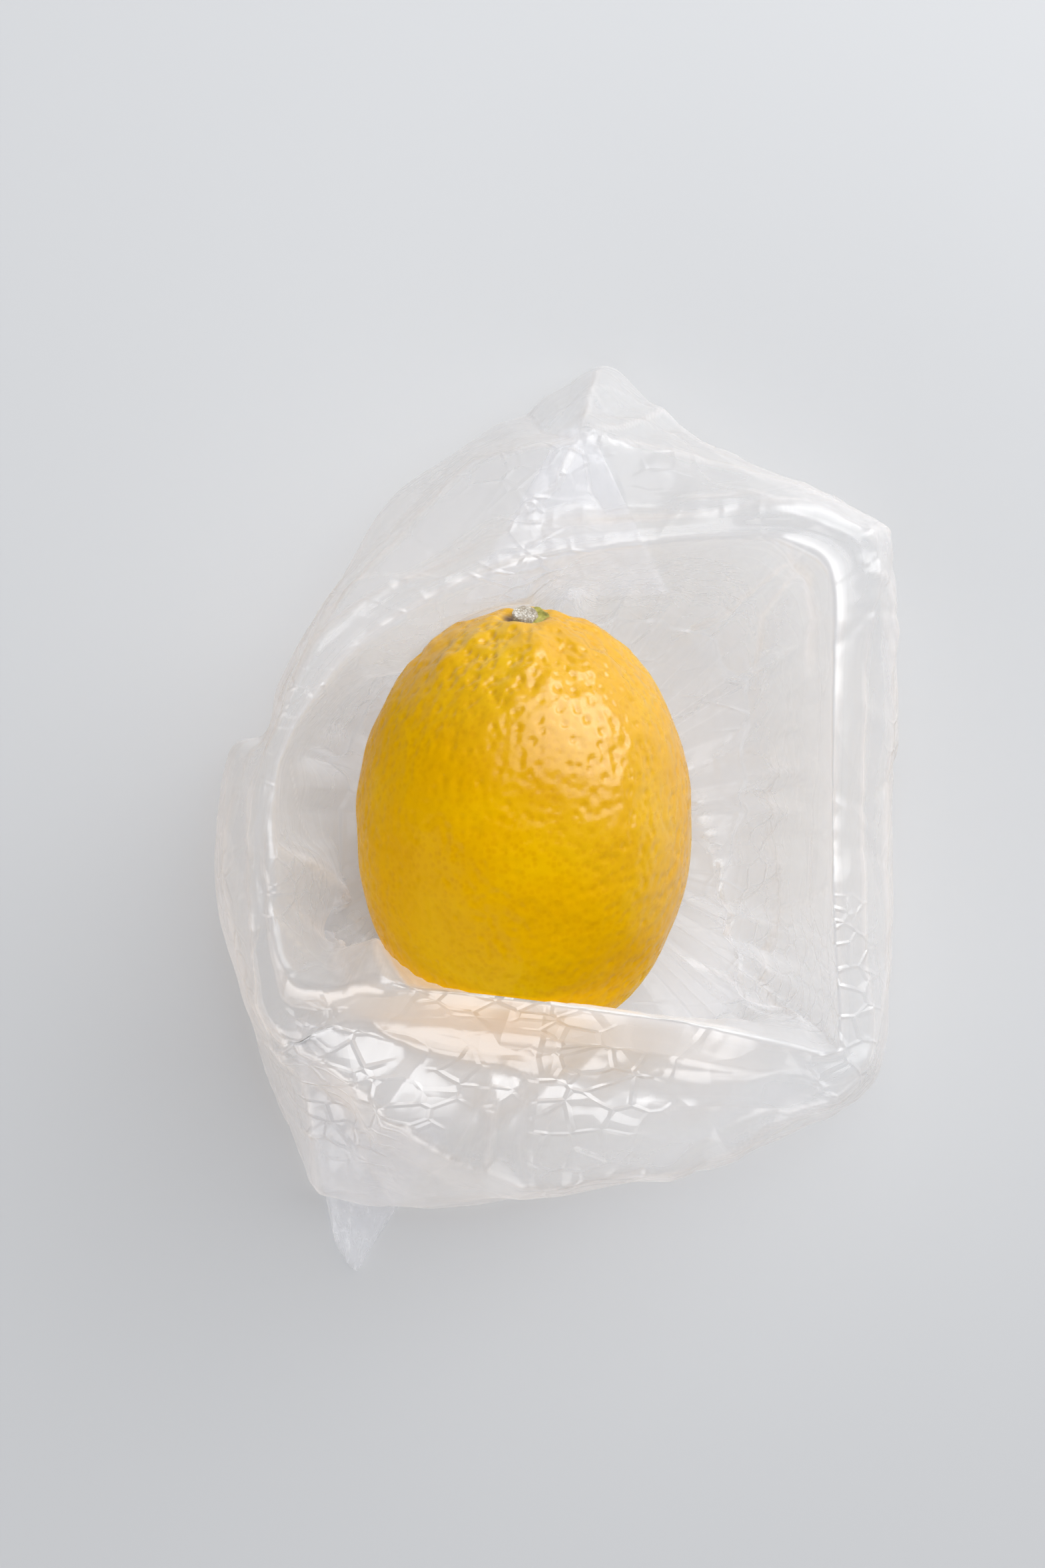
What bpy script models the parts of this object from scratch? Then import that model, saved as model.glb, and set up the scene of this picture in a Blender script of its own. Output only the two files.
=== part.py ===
"""A lemon lying in an open plastic film bag whose mouth is turned outwards into a cuff.

Metres, +Z up. The bag's flat base rests on z = 0. +Y runs along the lemon towards its stem end.
"""

import math

import bmesh
import bpy
from mathutils import Matrix, Vector
from mathutils.geometry import interpolate_bezier

MM = 0.001

# Lemon. Its axis leans up towards the stem end.
LEMON_LENGTH = 80 * MM
LEMON_DIAMETER = 62 * MM
LEMON_LEAN = math.radians(14)
LEMON_SEGMENTS = 48
LEMON_RINGS = 30
BASIN_RADIUS = 5.5 * MM
BASIN_DEPTH = 1.6 * MM
NIPPLE_RADIUS = 7 * MM
NIPPLE_HEIGHT = 3.0 * MM

# Calyx and the cut stem on it, in the basin at the lemon's stem end.
CALYX_DIAMETER = 7.2 * MM
CALYX_THICKNESS = 0.9 * MM
CALYX_LOBES = 5
CALYX_LOBE_DEPTH = 0.5 * MM
CALYX_POINTS = 40
STEM_DIAMETER = 4.8 * MM
STEM_HEIGHT = 1.5 * MM
STEM_CHAMFER = 0.4 * MM
STEM_SEGMENTS = 24
CONTACT_GAP = 0.3 * MM

# Bag, measured over its cuff. The film is drawn thicker than the real one so that it is a workable solid.
BAG_WIDTH = 128 * MM
BAG_LENGTH = 161 * MM
MOUTH_HEIGHT = 52 * MM
FILM = 1.0 * MM
PEEL_CLEARANCE = 0.8 * MM
CUFF_CLEARANCE = 3 * MM
ROLL_IN = 4 * MM
ROLL_OUT = 7 * MM
FOOT_BULGE = 3 * MM
EDGE_LIFT = 2.2 * MM
BASE_INSET = 3 * MM
SAMPLES_PER_STATION = 3
WALL_STEPS = 10
CUFF_STEPS = 11

# The bag's stations, anticlockwise from the right about the lemon's middle: the top of the mouth's fold
# (x, y, z), the cuff's free edge (x, y), and the wall's foot as a share of the fold's distance out. They give
# the outline's shape, which is stretched to the bag's width, length and height.
STATIONS = [
    ((60.0, -2.0, 47.0), (71.0, -2.0), 0.80),
    ((60.0, 22.0, 47.0), (71.0, 24.0), 0.80),
    ((59.0, 41.0, 46.5), (70.0, 46.0), 0.80),
    ((52.0, 50.5, 46.0), (62.0, 59.5), 0.80),
    ((40.0, 52.0, 46.0), (48.0, 64.5), 0.80),
    ((26.0, 53.0, 47.0), (29.0, 76.0), 0.84),
    ((13.0, 52.5, 47.0), (14.0, 87.0), 0.86),
    ((2.0, 51.0, 47.0), (1.0, 80.0), 0.88),
    ((-14.0, 46.0, 45.0), (-14.0, 70.0), 0.92),
    ((-28.0, 38.0, 43.0), (-31.0, 55.0), 0.92),
    ((-38.0, 27.0, 42.0), (-44.0, 37.0), 0.90),
    ((-44.0, 14.0, 41.0), (-55.0, 15.0), 0.88),
    ((-46.0, 1.0, 41.0), (-57.0, -5.0), 0.88),
    ((-45.0, -13.0, 42.0), (-54.0, -24.0), 0.90),
    ((-42.0, -26.0, 43.0), (-50.0, -48.0), 0.98),
    ((-26.0, -28.5, 48.0), (-40.0, -70.0), 1.30),
    ((-6.0, -31.0, 52.0), (-12.0, -75.0), 1.48),
    ((15.0, -33.5, 52.0), (14.0, -69.0), 1.40),
    ((37.0, -37.0, 49.0), (39.0, -65.5), 1.16),
    ((53.0, -39.5, 46.5), (58.0, -57.0), 0.94),
    ((60.5, -35.0, 45.5), (69.0, -43.0), 0.84),
    ((61.0, -20.0, 46.0), (71.0, -24.0), 0.80),
]

# The two bottom corners of the bag lie flat on the table and reach out from under the cuff. Each is a flap's
# outline, stretched with the stations: two points under the lemon, then round its tip.
BOTTOM_CORNERS = [
    [(-24.0, -20.0), (-38.0, -69.0), (-34.0, -80.0), (-27.0, -84.0), (-24.0, -78.0), (-6.0, -30.0)],
    [(24.0, 30.0), (18.0, 70.0), (11.0, 80.0), (2.0, 74.0), (-4.0, 34.0)],
]
CORNER_INSET = 0.1 * MM

PEEL = ("peel", (0.86, 0.53, 0.01), 0.38)
CALYX_GREEN = ("calyx_green", (0.42, 0.46, 0.13), 0.6)
CUT_WOOD = ("cut_wood", (0.55, 0.51, 0.44), 0.8)
CLEAR_FILM = ("clear_film", (0.86, 0.87, 0.9), 0.2)
FILM_ALPHA = 0.35


def clear_scene():
    for found in list(bpy.data.objects):
        bpy.data.objects.remove(found)


def material(name, colour, roughness, alpha=1.0):
    made = bpy.data.materials.new(name)
    made.use_nodes = True
    shader = made.node_tree.nodes["Principled BSDF"]
    shader.inputs["Base Color"].default_value = (*colour, 1.0)
    shader.inputs["Roughness"].default_value = roughness
    shader.inputs["Metallic"].default_value = 0.0
    shader.inputs["Alpha"].default_value = alpha
    return made


def object_of(name, bm, finish, parent):
    """The bmesh as a named object with its faces pointing out."""
    bmesh.ops.recalc_face_normals(bm, faces=bm.faces)
    mesh = bpy.data.meshes.new(name)
    bm.to_mesh(mesh)
    bm.free()
    mesh.shade_smooth()
    made = bpy.data.objects.new(name, mesh)
    bpy.context.scene.collection.objects.link(made)
    made.data.materials.append(finish)
    made.parent = parent
    return made


def empty(name, parent=None):
    made = bpy.data.objects.new(name, None)
    bpy.context.scene.collection.objects.link(made)
    made.parent = parent
    return made


def smooth_step(value):
    held = min(max(value, 0.0), 1.0)
    return held * held * (3 - 2 * held)


def catmull_rom(before, start, end, after, share):
    """A point between start and end on the smooth curve through all four."""
    return 0.5 * (
        2 * start
        + (end - before) * share
        + (2 * before - 5 * start + 4 * end - after) * share**2
        + (3 * start - before - 3 * end + after) * share**3
    )


def closed_curve(points, samples):
    """The smooth closed curve through the points, with that many samples from each to the next."""
    count = len(points)
    return [
        catmull_rom(points[k - 1], points[k], points[(k + 1) % count], points[(k + 2) % count], step / samples)
        for k in range(count)
        for step in range(samples)
    ]


# --- Lemon


def lemon_profile():
    """(radius, height) from the blossom end's tip to the middle of the stem end's basin."""
    half = LEMON_LENGTH / 2
    body_half = half - NIPPLE_HEIGHT / 2
    rows = []
    for k in range(LEMON_RINGS + 1):
        turn = math.pi * k / LEMON_RINGS
        radius = LEMON_DIAMETER / 2 * math.sin(turn)
        height = -body_half * math.cos(turn) + NIPPLE_HEIGHT / 2
        if turn < math.pi / 2:
            height -= NIPPLE_HEIGHT * (1 - smooth_step(radius / (2 * NIPPLE_RADIUS)))
        else:
            height -= BASIN_DEPTH * (1 - smooth_step(radius / BASIN_RADIUS))
        rows.append((radius, height))
    return rows


def lemon_height():
    """The height of the lemon's middle, with its lowest point the contact gap above the bag's base."""
    length = LEMON_LENGTH / 2 - NIPPLE_HEIGHT / 2
    reach = math.hypot(length * math.sin(LEMON_LEAN), LEMON_DIAMETER / 2 * math.cos(LEMON_LEAN))
    return FILM + CONTACT_GAP + reach - NIPPLE_HEIGHT / 2 * math.sin(LEMON_LEAN)


def make_lemon(parent):
    bm = bmesh.new()
    profile = lemon_profile()
    rings = [
        [
            bm.verts.new((radius * math.cos(turn), radius * math.sin(turn), height))
            for turn in (math.tau * k / LEMON_SEGMENTS for k in range(LEMON_SEGMENTS))
        ]
        for radius, height in profile[1:-1]
    ]
    for lower, upper in zip(rings, rings[1:]):
        for k in range(LEMON_SEGMENTS):
            following = (k + 1) % LEMON_SEGMENTS
            bm.faces.new((lower[k], lower[following], upper[following], upper[k]))
    for ring, (_, height) in ((rings[0], profile[0]), (rings[-1], profile[-1])):
        tip = bm.verts.new((0, 0, height))
        for k in range(LEMON_SEGMENTS):
            bm.faces.new((ring[k], ring[(k + 1) % LEMON_SEGMENTS], tip))
    return object_of("lemon", bm, material(*PEEL), parent)


def make_calyx(parent):
    """The star-shaped green disc in the basin."""
    bm = bmesh.new()
    outline = []
    for k in range(CALYX_POINTS):
        turn = math.tau * k / CALYX_POINTS
        reach = CALYX_DIAMETER / 2 - CALYX_LOBE_DEPTH * (0.5 - 0.5 * math.cos(CALYX_LOBES * turn))
        outline.append(bm.verts.new((reach * math.cos(turn), reach * math.sin(turn), 0)))
    disc = bm.faces.new(outline)
    raised = bmesh.ops.extrude_face_region(bm, geom=[disc])["geom"]
    moved = [v for v in raised if isinstance(v, bmesh.types.BMVert)]
    bmesh.ops.translate(bm, verts=moved, vec=(0, 0, CALYX_THICKNESS))
    made = object_of("calyx", bm, material(*CALYX_GREEN), parent)
    made.location.z = calyx_bottom()
    return made


def calyx_bottom():
    """The disc's rim clears the basin's slope, which rises outwards, by the contact gap."""
    slope = next(height for radius, height in reversed(lemon_profile()) if radius >= CALYX_DIAMETER / 2)
    return slope + CONTACT_GAP


def make_stem(parent):
    bm = bmesh.new()
    bmesh.ops.create_cone(
        bm,
        cap_ends=True,
        segments=STEM_SEGMENTS,
        radius1=STEM_DIAMETER / 2,
        radius2=STEM_DIAMETER / 2,
        depth=STEM_HEIGHT,
    )
    top = [edge for edge in bm.edges if all(vert.co.z > 0 for vert in edge.verts)]
    bmesh.ops.bevel(bm, geom=top, offset=STEM_CHAMFER, segments=1, affect="EDGES", clamp_overlap=True)
    made = object_of("stem_stub", bm, material(*CUT_WOOD), parent)
    made.location.z = calyx_bottom() + CALYX_THICKNESS + CONTACT_GAP + STEM_HEIGHT / 2
    return made


# --- Bag


def bag_scale():
    """The stretch from the stations' outline to the bag's own width, length and height."""
    edges = [edge for _, edge, _ in STATIONS]
    across, along = ([edge[axis] for edge in edges] for axis in (0, 1))
    tallest = max(fold[2] for fold, _, _ in STATIONS)
    return Vector((
        (BAG_WIDTH - FILM) / (max(across) - min(across)),
        (BAG_LENGTH - FILM) / (max(along) - min(along)),
        MOUTH_HEIGHT / tallest,
    ))


def station_curves():
    """The smooth closed curves of the wall's foot, the mouth's fold and the cuff's free edge."""
    scale = bag_scale()
    folds = [Vector(fold) * scale for fold, _, _ in STATIONS]
    edges = [Vector((*edge, 0)) * scale + Vector((0, 0, FILM / 2 + EDGE_LIFT)) for _, edge, _ in STATIONS]
    feet = [
        Vector((fold.x * share, fold.y * share, FILM / 2))
        for fold, (_, _, share) in zip(folds, STATIONS)
    ]
    return [closed_curve(points, SAMPLES_PER_STATION) for points in (feet, folds, edges)]


def flat_direction(start, end):
    """The level unit vector from start towards end."""
    across = end - start
    across.z = 0
    return across.normalized()


def clear_of_lemon(point, spare):
    """The point, moved straight out from the lemon's middle if it is nearer to the peel than the spare."""
    middle = Vector((0, 0, lemon_height()))
    turned = Matrix.Rotation(-LEMON_LEAN, 3, "X") @ (point - middle)
    radius = LEMON_DIAMETER / 2 + spare
    depth = Vector((turned.x / radius, turned.y / (LEMON_LENGTH / 2 + spare), turned.z / radius)).length
    moved = middle + (point - middle) / min(depth, 1.0)
    moved.z = max(moved.z, FILM / 2)
    return moved


def film_row(foot, fold, edge):
    """The film's middle line at one place round the bag: up the wall, over the fold and down the cuff."""
    out = flat_direction(fold, edge)
    away = flat_direction(Vector((0, 0, 0)), foot)
    lower_wall = foot + away * FOOT_BULGE * 2 + Vector((0, 0, fold.z * 0.35))
    upper_wall = fold - out * ROLL_IN
    wall = interpolate_bezier(foot, lower_wall, upper_wall, fold, WALL_STEPS + 1)
    upper_cuff = fold + out * ROLL_OUT
    lower_cuff = edge.lerp(Vector((fold.x, fold.y, edge.z)), 0.1) + Vector((0, 0, fold.z * 0.4))
    cuff = interpolate_bezier(fold, upper_cuff, lower_cuff, edge, CUFF_STEPS + 1)
    nearest = FILM / 2 + PEEL_CLEARANCE
    row = [foot] + [clear_of_lemon(point, nearest) for point in wall[1:]]
    for step, point in enumerate(cuff[1:], 1):
        row.append(clear_of_lemon(point, nearest + CUFF_CLEARANCE * min(step / 3, 1.0)))
    return row


def film_sheet():
    """The bag's film as an open surface: a flat base, the wall, the fold and the cuff."""
    bm = bmesh.new()
    rows = [film_row(*points) for points in zip(*station_curves())]
    grid = []
    for row in rows:
        inset = row[0] - flat_direction(Vector((0, 0, 0)), row[0]) * BASE_INSET
        grid.append([bm.verts.new(point) for point in [inset, *row]])
    count = len(grid)
    for k in range(count):
        here, following = grid[k], grid[(k + 1) % count]
        for step in range(len(here) - 1):
            bm.faces.new((here[step], following[step], following[step + 1], here[step + 1]))
    centre = bm.verts.new((0, 0, FILM / 2))
    for k in range(count):
        bm.faces.new((centre, grid[(k + 1) % count][0], grid[k][0]))
    return bm


def make_flap(outline, number, parent):
    """One bottom corner of the bag: a flat flap, a little thinner than the base it joins."""
    bm = bmesh.new()
    scale = bag_scale()
    face = bm.faces.new([bm.verts.new((x * scale.x, y * scale.y, CORNER_INSET)) for x, y in outline])
    raised = bmesh.ops.extrude_face_region(bm, geom=[face])["geom"]
    moved = [v for v in raised if isinstance(v, bmesh.types.BMVert)]
    bmesh.ops.translate(bm, verts=moved, vec=(0, 0, FILM - 2 * CORNER_INSET))
    made = object_of(f"corner_tool_{number}", bm, bpy.data.materials["clear_film"], parent)
    made.hide_render = True
    made.display_type = "WIRE"
    return made


def make_bag(parent):
    bag = object_of("bag", film_sheet(), material(*CLEAR_FILM, FILM_ALPHA), parent)
    thickness = bag.modifiers.new("film", "SOLIDIFY")
    thickness.thickness = FILM
    thickness.offset = 0
    thickness.use_even_offset = True
    thickness.use_rim = True
    for number, outline in enumerate(BOTTOM_CORNERS, 1):
        join = bag.modifiers.new(f"corner_{number}", "BOOLEAN")
        join.operation = "UNION"
        join.object = make_flap(outline, number, parent)
    return bag


# --- Assembly


def world_corners(found):
    """The lowest and highest corner of an object as the viewport evaluates it."""
    bpy.context.view_layer.update()
    evaluated = found.evaluated_get(bpy.context.evaluated_depsgraph_get())
    mesh = evaluated.to_mesh()
    points = [evaluated.matrix_world @ vert.co for vert in mesh.vertices]
    evaluated.to_mesh_clear()
    return [Vector(pick(point[axis] for point in points) for axis in range(3)) for pick in (min, max)]


def main():
    clear_scene()
    origin = empty("origin")
    fruit = empty("fruit_axis", origin)
    fruit.rotation_euler.x = LEMON_LEAN - math.pi / 2
    fruit.location.z = lemon_height()
    make_lemon(fruit)
    make_calyx(fruit)
    make_stem(fruit)
    low, high = world_corners(make_bag(origin))
    origin.location = Vector((-(low.x + high.x) / 2, -(low.y + high.y) / 2, 0))


main()
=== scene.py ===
"""Looks for a lemon lying in an open, crinkled produce bag whose mouth is turned outwards into a cuff."""

import math

import bpy
import numpy as np
from mathutils import Matrix, Vector, noise
from mathutils.geometry import delaunay_2d_cdt


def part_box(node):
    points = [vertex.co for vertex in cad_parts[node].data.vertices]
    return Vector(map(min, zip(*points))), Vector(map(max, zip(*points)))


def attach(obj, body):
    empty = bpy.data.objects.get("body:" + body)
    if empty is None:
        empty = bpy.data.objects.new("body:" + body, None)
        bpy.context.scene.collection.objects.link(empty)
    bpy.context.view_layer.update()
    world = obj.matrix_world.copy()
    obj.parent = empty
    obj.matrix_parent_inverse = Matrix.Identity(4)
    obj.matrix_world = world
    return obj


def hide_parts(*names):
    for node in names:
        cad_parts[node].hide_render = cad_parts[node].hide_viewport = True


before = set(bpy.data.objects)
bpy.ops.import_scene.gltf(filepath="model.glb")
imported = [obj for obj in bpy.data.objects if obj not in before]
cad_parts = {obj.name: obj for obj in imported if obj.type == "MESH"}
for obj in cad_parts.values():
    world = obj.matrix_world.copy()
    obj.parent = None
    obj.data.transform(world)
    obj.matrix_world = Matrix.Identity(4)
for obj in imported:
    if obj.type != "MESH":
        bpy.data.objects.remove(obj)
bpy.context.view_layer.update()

MM = 0.001

# The lemon's middle and its lean, which everything is placed about.
LEMON_LOW, LEMON_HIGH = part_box("lemon")
MIDDLE = (LEMON_LOW + LEMON_HIGH) / 2
LEAN = math.radians(14)

# --- Material helpers ---


class Nodes:
    """A material's node tree, with short calls for the nodes used here."""

    def __init__(self, name):
        self.material = bpy.data.materials.new(name)
        self.material.use_nodes = True
        self.tree = self.material.node_tree
        self.shader = self.tree.nodes["Principled BSDF"]
        self.output = self.tree.nodes["Material Output"]

    def link(self, source, target):
        self.tree.links.new(source, target)

    def node(self, kind, **inputs):
        made = self.tree.nodes.new(kind)
        for key, value in inputs.items():
            self.feed(made.inputs[key.replace("_", " ")], value)
        return made

    def feed(self, socket, value):
        if isinstance(value, bpy.types.NodeSocket):
            self.link(value, socket)
        else:
            socket.default_value = value

    def coordinates(self):
        return self.node("ShaderNodeTexCoord").outputs["Object"]

    def math(self, operation, a, b=None, clamp=False):
        made = self.tree.nodes.new("ShaderNodeMath")
        made.operation = operation
        made.use_clamp = clamp
        self.feed(made.inputs[0], a)
        if b is not None:
            self.feed(made.inputs[1], b)
        return made.outputs[0]

    def noise(self, scale, detail=2.0, roughness=0.5):
        made = self.node("ShaderNodeTexNoise", Scale=scale, Detail=detail, Roughness=roughness)
        self.link(self.coordinates(), made.inputs["Vector"])
        return made.outputs["Fac"]

    def turned(self, rotation, stretch=(1, 1, 1)):
        """The object's coordinates, turned and stretched."""
        made = self.node("ShaderNodeMapping", Rotation=rotation, Scale=stretch)
        self.link(self.coordinates(), made.inputs["Vector"])
        return made.outputs["Vector"]

    def voronoi(self, scale, feature="F1", vector=None, randomness=1.0, distance="EUCLIDEAN"):
        made = self.tree.nodes.new("ShaderNodeTexVoronoi")
        made.feature = feature
        made.distance = distance
        made.inputs["Scale"].default_value = scale
        made.inputs["Randomness"].default_value = randomness
        self.link(vector or self.coordinates(), made.inputs["Vector"])
        return made.outputs["Distance"]

    def attribute(self, name):
        made = self.tree.nodes.new("ShaderNodeAttribute")
        made.attribute_name = name
        return made.outputs["Fac"]

    def ramp(self, value, stops):
        """Colours or greys by value: stops are (place, (r, g, b)) or (place, grey)."""
        made = self.tree.nodes.new("ShaderNodeValToRGB")
        self.link(value, made.inputs["Fac"])
        elements = made.color_ramp.elements
        while len(elements) < len(stops):
            elements.new(0.5)
        for element, (place, colour) in zip(elements, stops):
            element.position = place
            element.color = (*colour, 1) if hasattr(colour, "__len__") else (colour, colour, colour, 1)
        return made.outputs["Color"]

    def mix(self, factor, a, b):
        made = self.tree.nodes.new("ShaderNodeMix")
        made.data_type = "RGBA"
        self.feed(made.inputs[0], factor)
        for socket, value in ((made.inputs[6], a), (made.inputs[7], b)):
            self.feed(socket, (*value, 1) if isinstance(value, tuple) and len(value) == 3 else value)
        return made.outputs[2]

    def bump(self, height, distance, strength=1.0, normal=None):
        made = self.node("ShaderNodeBump", Height=height, Distance=distance, Strength=strength)
        if normal is not None:
            self.link(normal, made.inputs["Normal"])
        return made.outputs["Normal"]


# --- Mesh helpers ---


def mesh_object(name, points, faces, finish):
    """A smooth-shaded piece from points in metres, riding on the root body."""
    mesh = bpy.data.meshes.new(name)
    mesh.from_pydata([tuple(p) for p in points], [], faces)
    mesh.validate()
    mesh.shade_smooth()
    mesh.materials.append(finish)
    made = bpy.data.objects.new(name, mesh)
    bpy.context.scene.collection.objects.link(made)
    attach(made, "root")
    return made


def ring_faces(rings, count):
    """Quads between rings of count points each, closed round the ring."""
    faces = []
    for row in range(rings - 1):
        for k in range(count):
            following = (k + 1) % count
            low, high = row * count, (row + 1) * count
            faces.append((low + k, low + following, high + following, high + k))
    return faces


def smooth_step(value):
    held = np.clip(value, 0.0, 1.0)
    return held * held * (3 - 2 * held)


# --- Lemon ---

# The stem end sits a little above the lemon's own axis, sunk in a dimple and turned up.
STEM_SHIFT = -1.6
STEM_SINK = 1.5
STEM_TILT = math.radians(24)
LEMON_ACROSS = 420
LEMON_ALONG = 236


def lemon_axis():
    """From the lemon's own axes, +Z towards the stem end, to the row frame."""
    return Matrix.Translation(MIDDLE) @ Matrix.Rotation(LEAN - math.pi / 2, 4, "X")


def peel_height(point, towards_stem, turn):
    """How far the peel stands out at a point of the lemon, in millimetres, and how deep a pit it lies in."""
    swell = 0.55 * noise.noise(point / 17) + 0.28 * noise.noise(point / 7.5 + Vector((5, 2, 9)))
    pit_distance = noise.voronoi(point / 1.95)[0][0]
    pit = max(0.0, 1 - (pit_distance / 0.45) ** 2)
    coarse = 0.5 + 0.5 * noise.noise(point / 15 + Vector((3.1, 7.7, 1.3)))
    depth = 0.13 + 0.2 * coarse + 0.1 * max(0.0, towards_stem - 0.35)
    lumps = 0.0
    if towards_stem > 0.55:
        ring = smooth_step((towards_stem - 0.55) / 0.3) * (1 - smooth_step((towards_stem - 0.93) / 0.05))
        ridges = math.sin(7 * turn + 2.2 * noise.noise(point / 9)) + 0.6 * math.sin(4 * turn + 1.0)
        lumps = ring * (0.34 * ridges + 0.5 * noise.noise(point / 3.2))
    return swell + lumps - depth * pit, pit * depth


def make_lemon():
    half_across = (LEMON_HIGH.x - LEMON_LOW.x) / 2 / MM
    half_along = half_across * 80 / 62
    points, pits, scars = [], [], []
    for row in range(LEMON_ALONG + 1):
        share = row / LEMON_ALONG
        place = -math.cos(math.pi * (0.04 * share * (1 - share) + share))
        width = (1 - abs(place) ** 2.08) ** (1 / 2.08)
        for k in range(LEMON_ACROSS):
            turn = math.tau * k / LEMON_ACROSS
            radius = half_across * width
            height = place * half_along
            if place < 0:
                height -= 2.2 * float(1 - smooth_step(radius / 13))
                height = max(height, -half_along)
            else:
                from_stem = math.hypot(radius * math.cos(turn), radius * math.sin(turn) - STEM_SHIFT)
                height -= 2.3 * float(1 - smooth_step(from_stem / 5.6))
                collar = math.exp(-(((from_stem - 6.2) / 2.0) ** 2))
                height += 0.55 * collar * (0.6 + 0.4 * math.sin(6 * turn))
                height += 0.35 * math.cos(turn - 0.8) * float(smooth_step(radius / 8)) * place**6
            point = Vector((radius * math.cos(turn), radius * math.sin(turn), height))
            outward = point.x / half_across**2, point.y / half_across**2, height / half_along**2
            normal = Vector(outward).normalized()
            lift, pit = peel_height(point, place, turn)
            fade = float(smooth_step(radius / 1.2))
            points.append(lemon_axis() @ ((point + normal * (lift * fade - 0.25)) * MM))
            pits.append(pit / 0.4)
            scars.append(float(1 - smooth_step((from_stem - 3.2) / 1.5)) if place > 0 else 0.0)
    faces = ring_faces(LEMON_ALONG + 1, LEMON_ACROSS)
    made = mesh_object("lemon_peel", points, faces, peel_material())
    pit_layer = made.data.attributes.new("pit", "FLOAT", "POINT")
    pit_layer.data.foreach_set("value", np.array(pits, np.float32))
    scar_layer = made.data.attributes.new("scar", "FLOAT", "POINT")
    scar_layer.data.foreach_set("value", np.array(scars, np.float32))
    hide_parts("lemon")


def peel_material():
    """Waxy yellow peel, amber in the pits, with darker oil glands under the surface."""
    peel = Nodes("lemon_peel")
    warmth = peel.noise(38, 3, 0.55)
    fine = peel.noise(240, 2, 0.5)
    yellows = [(0.3, (0.75, 0.37, 0.0)), (0.52, (0.79, 0.425, 0.0)), (0.72, (0.83, 0.49, 0.0))]
    base = peel.ramp(warmth, yellows)
    gland = peel.voronoi(880, "F1", randomness=0.9)
    gland_mask = peel.ramp(gland, [(0.0, 1.0), (0.3, 0.75), (0.52, 0.0)])
    patchy = peel.math("MULTIPLY", gland_mask, peel.ramp(peel.noise(90, 2), [(0.3, 0.12), (0.7, 0.46)]))
    dotted = peel.mix(patchy, base, (0.66, 0.30, 0.0))
    in_pit = peel.math("MULTIPLY", peel.attribute("pit"), 0.3, clamp=True)
    coloured = peel.mix(in_pit, dotted, (0.62, 0.30, 0.0))
    specks = peel.ramp(peel.voronoi(95, "F1"), [(0.0, 1.0), (0.045, 1.0), (0.06, 0.0)])
    chosen = peel.math("MULTIPLY", specks, peel.ramp(peel.noise(33, 1), [(0.6, 0.0), (0.66, 0.8)]))
    speckled = peel.mix(chosen, coloured, (0.24, 0.11, 0.02))
    peel.feed(peel.shader.inputs["Base Color"], peel.mix(peel.attribute("scar"), speckled, (0.2, 0.1, 0.025)))
    peel.feed(
        peel.shader.inputs["Roughness"],
        peel.math("ADD", peel.math("MULTIPLY", fine, 0.12), 0.22),
    )
    # Reflection strength painted by side: strong on the upper right, towards the window, and faint on the
    # lower left, so the peel shows almost no reflection there.
    split = peel.node("ShaderNodeSeparateXYZ", Vector=peel.coordinates())
    across = peel.math("MULTIPLY", split.outputs["X"], 14.0)
    up_right = peel.math("ADD", across, peel.math("MULTIPLY", split.outputs["Y"], 14.0))
    painted_reflection_by_side = peel.ramp(peel.math("ADD", up_right, 0.5), [(0.36, 0.04), (0.74, 0.85)])
    peel.feed(peel.shader.inputs["Specular IOR Level"], painted_reflection_by_side)
    pores = peel.bump(gland_mask, 0.00016, -0.5)
    pebbles = peel.bump(peel.voronoi(460, "SMOOTH_F1"), 0.0006, 0.5, pores)
    skin = peel.bump(peel.noise(1500, 2), 0.00006, 0.4, pebbles)
    peel.link(skin, peel.shader.inputs["Normal"])
    return peel.material


def stem_disc(name, node, reach, rings, around, rough, finish, nudge=(0, 0, 0)):
    """A closed, slightly uneven disc on the stem end, near its CAD node but turned up to show its face."""
    low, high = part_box(node)
    centre = (lemon_axis().inverted() @ ((low + high) / 2)) / MM
    seat = Matrix.Translation(Vector((centre.x, centre.y + STEM_SHIFT, centre.z - STEM_SINK)))
    seat = seat @ Matrix.Rotation(STEM_TILT, 4, "X") @ Matrix.Translation(nudge)
    shares, heights = zip(*rings)
    rows = 6 * (len(rings) - 1) + 1
    places = np.linspace(0, len(rings) - 1, rows)
    points = []
    between = range(len(rings))
    for share, height in zip(np.interp(places, between, shares), np.interp(places, between, heights)):
        for k in range(around):
            turn = math.tau * k / around
            spot = Vector((math.cos(turn), math.sin(turn), 0)) * reach(turn) * float(share)
            broad = noise.noise(spot * 1.7 + Vector((0, 0, height * 2)))
            uneven = rough * (broad + 0.5 * noise.noise(spot * 5))
            spot = spot * (1 + 0.06 * noise.noise(spot * 1.1 + Vector((9, 1, height * 3))))
            spot.z = float(height) + uneven * float(share > 0.02)
            points.append(lemon_axis() @ ((seat @ spot) * MM))
    faces = ring_faces(rows, around)
    made = mesh_object(name, points, faces, finish)
    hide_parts(node)


def calyx_material():
    green = Nodes("calyx_green")
    greens = [(0.35, (0.20, 0.17, 0.03)), (0.5, (0.36, 0.34, 0.06)), (0.68, (0.52, 0.46, 0.13))]
    blotch = green.ramp(green.noise(520, 3, 0.6), greens)
    spots = green.ramp(green.voronoi(2100, "F1"), [(0.1, 1.0), (0.3, 0.0)])
    dotted = green.mix(green.math("MULTIPLY", spots, 0.5), blotch, (0.16, 0.09, 0.03))
    green.feed(green.shader.inputs["Base Color"], dotted)
    green.shader.inputs["Roughness"].default_value = 0.6
    green.link(green.bump(green.noise(1400, 3), 0.0002, 0.8), green.shader.inputs["Normal"])
    return green.material


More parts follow.
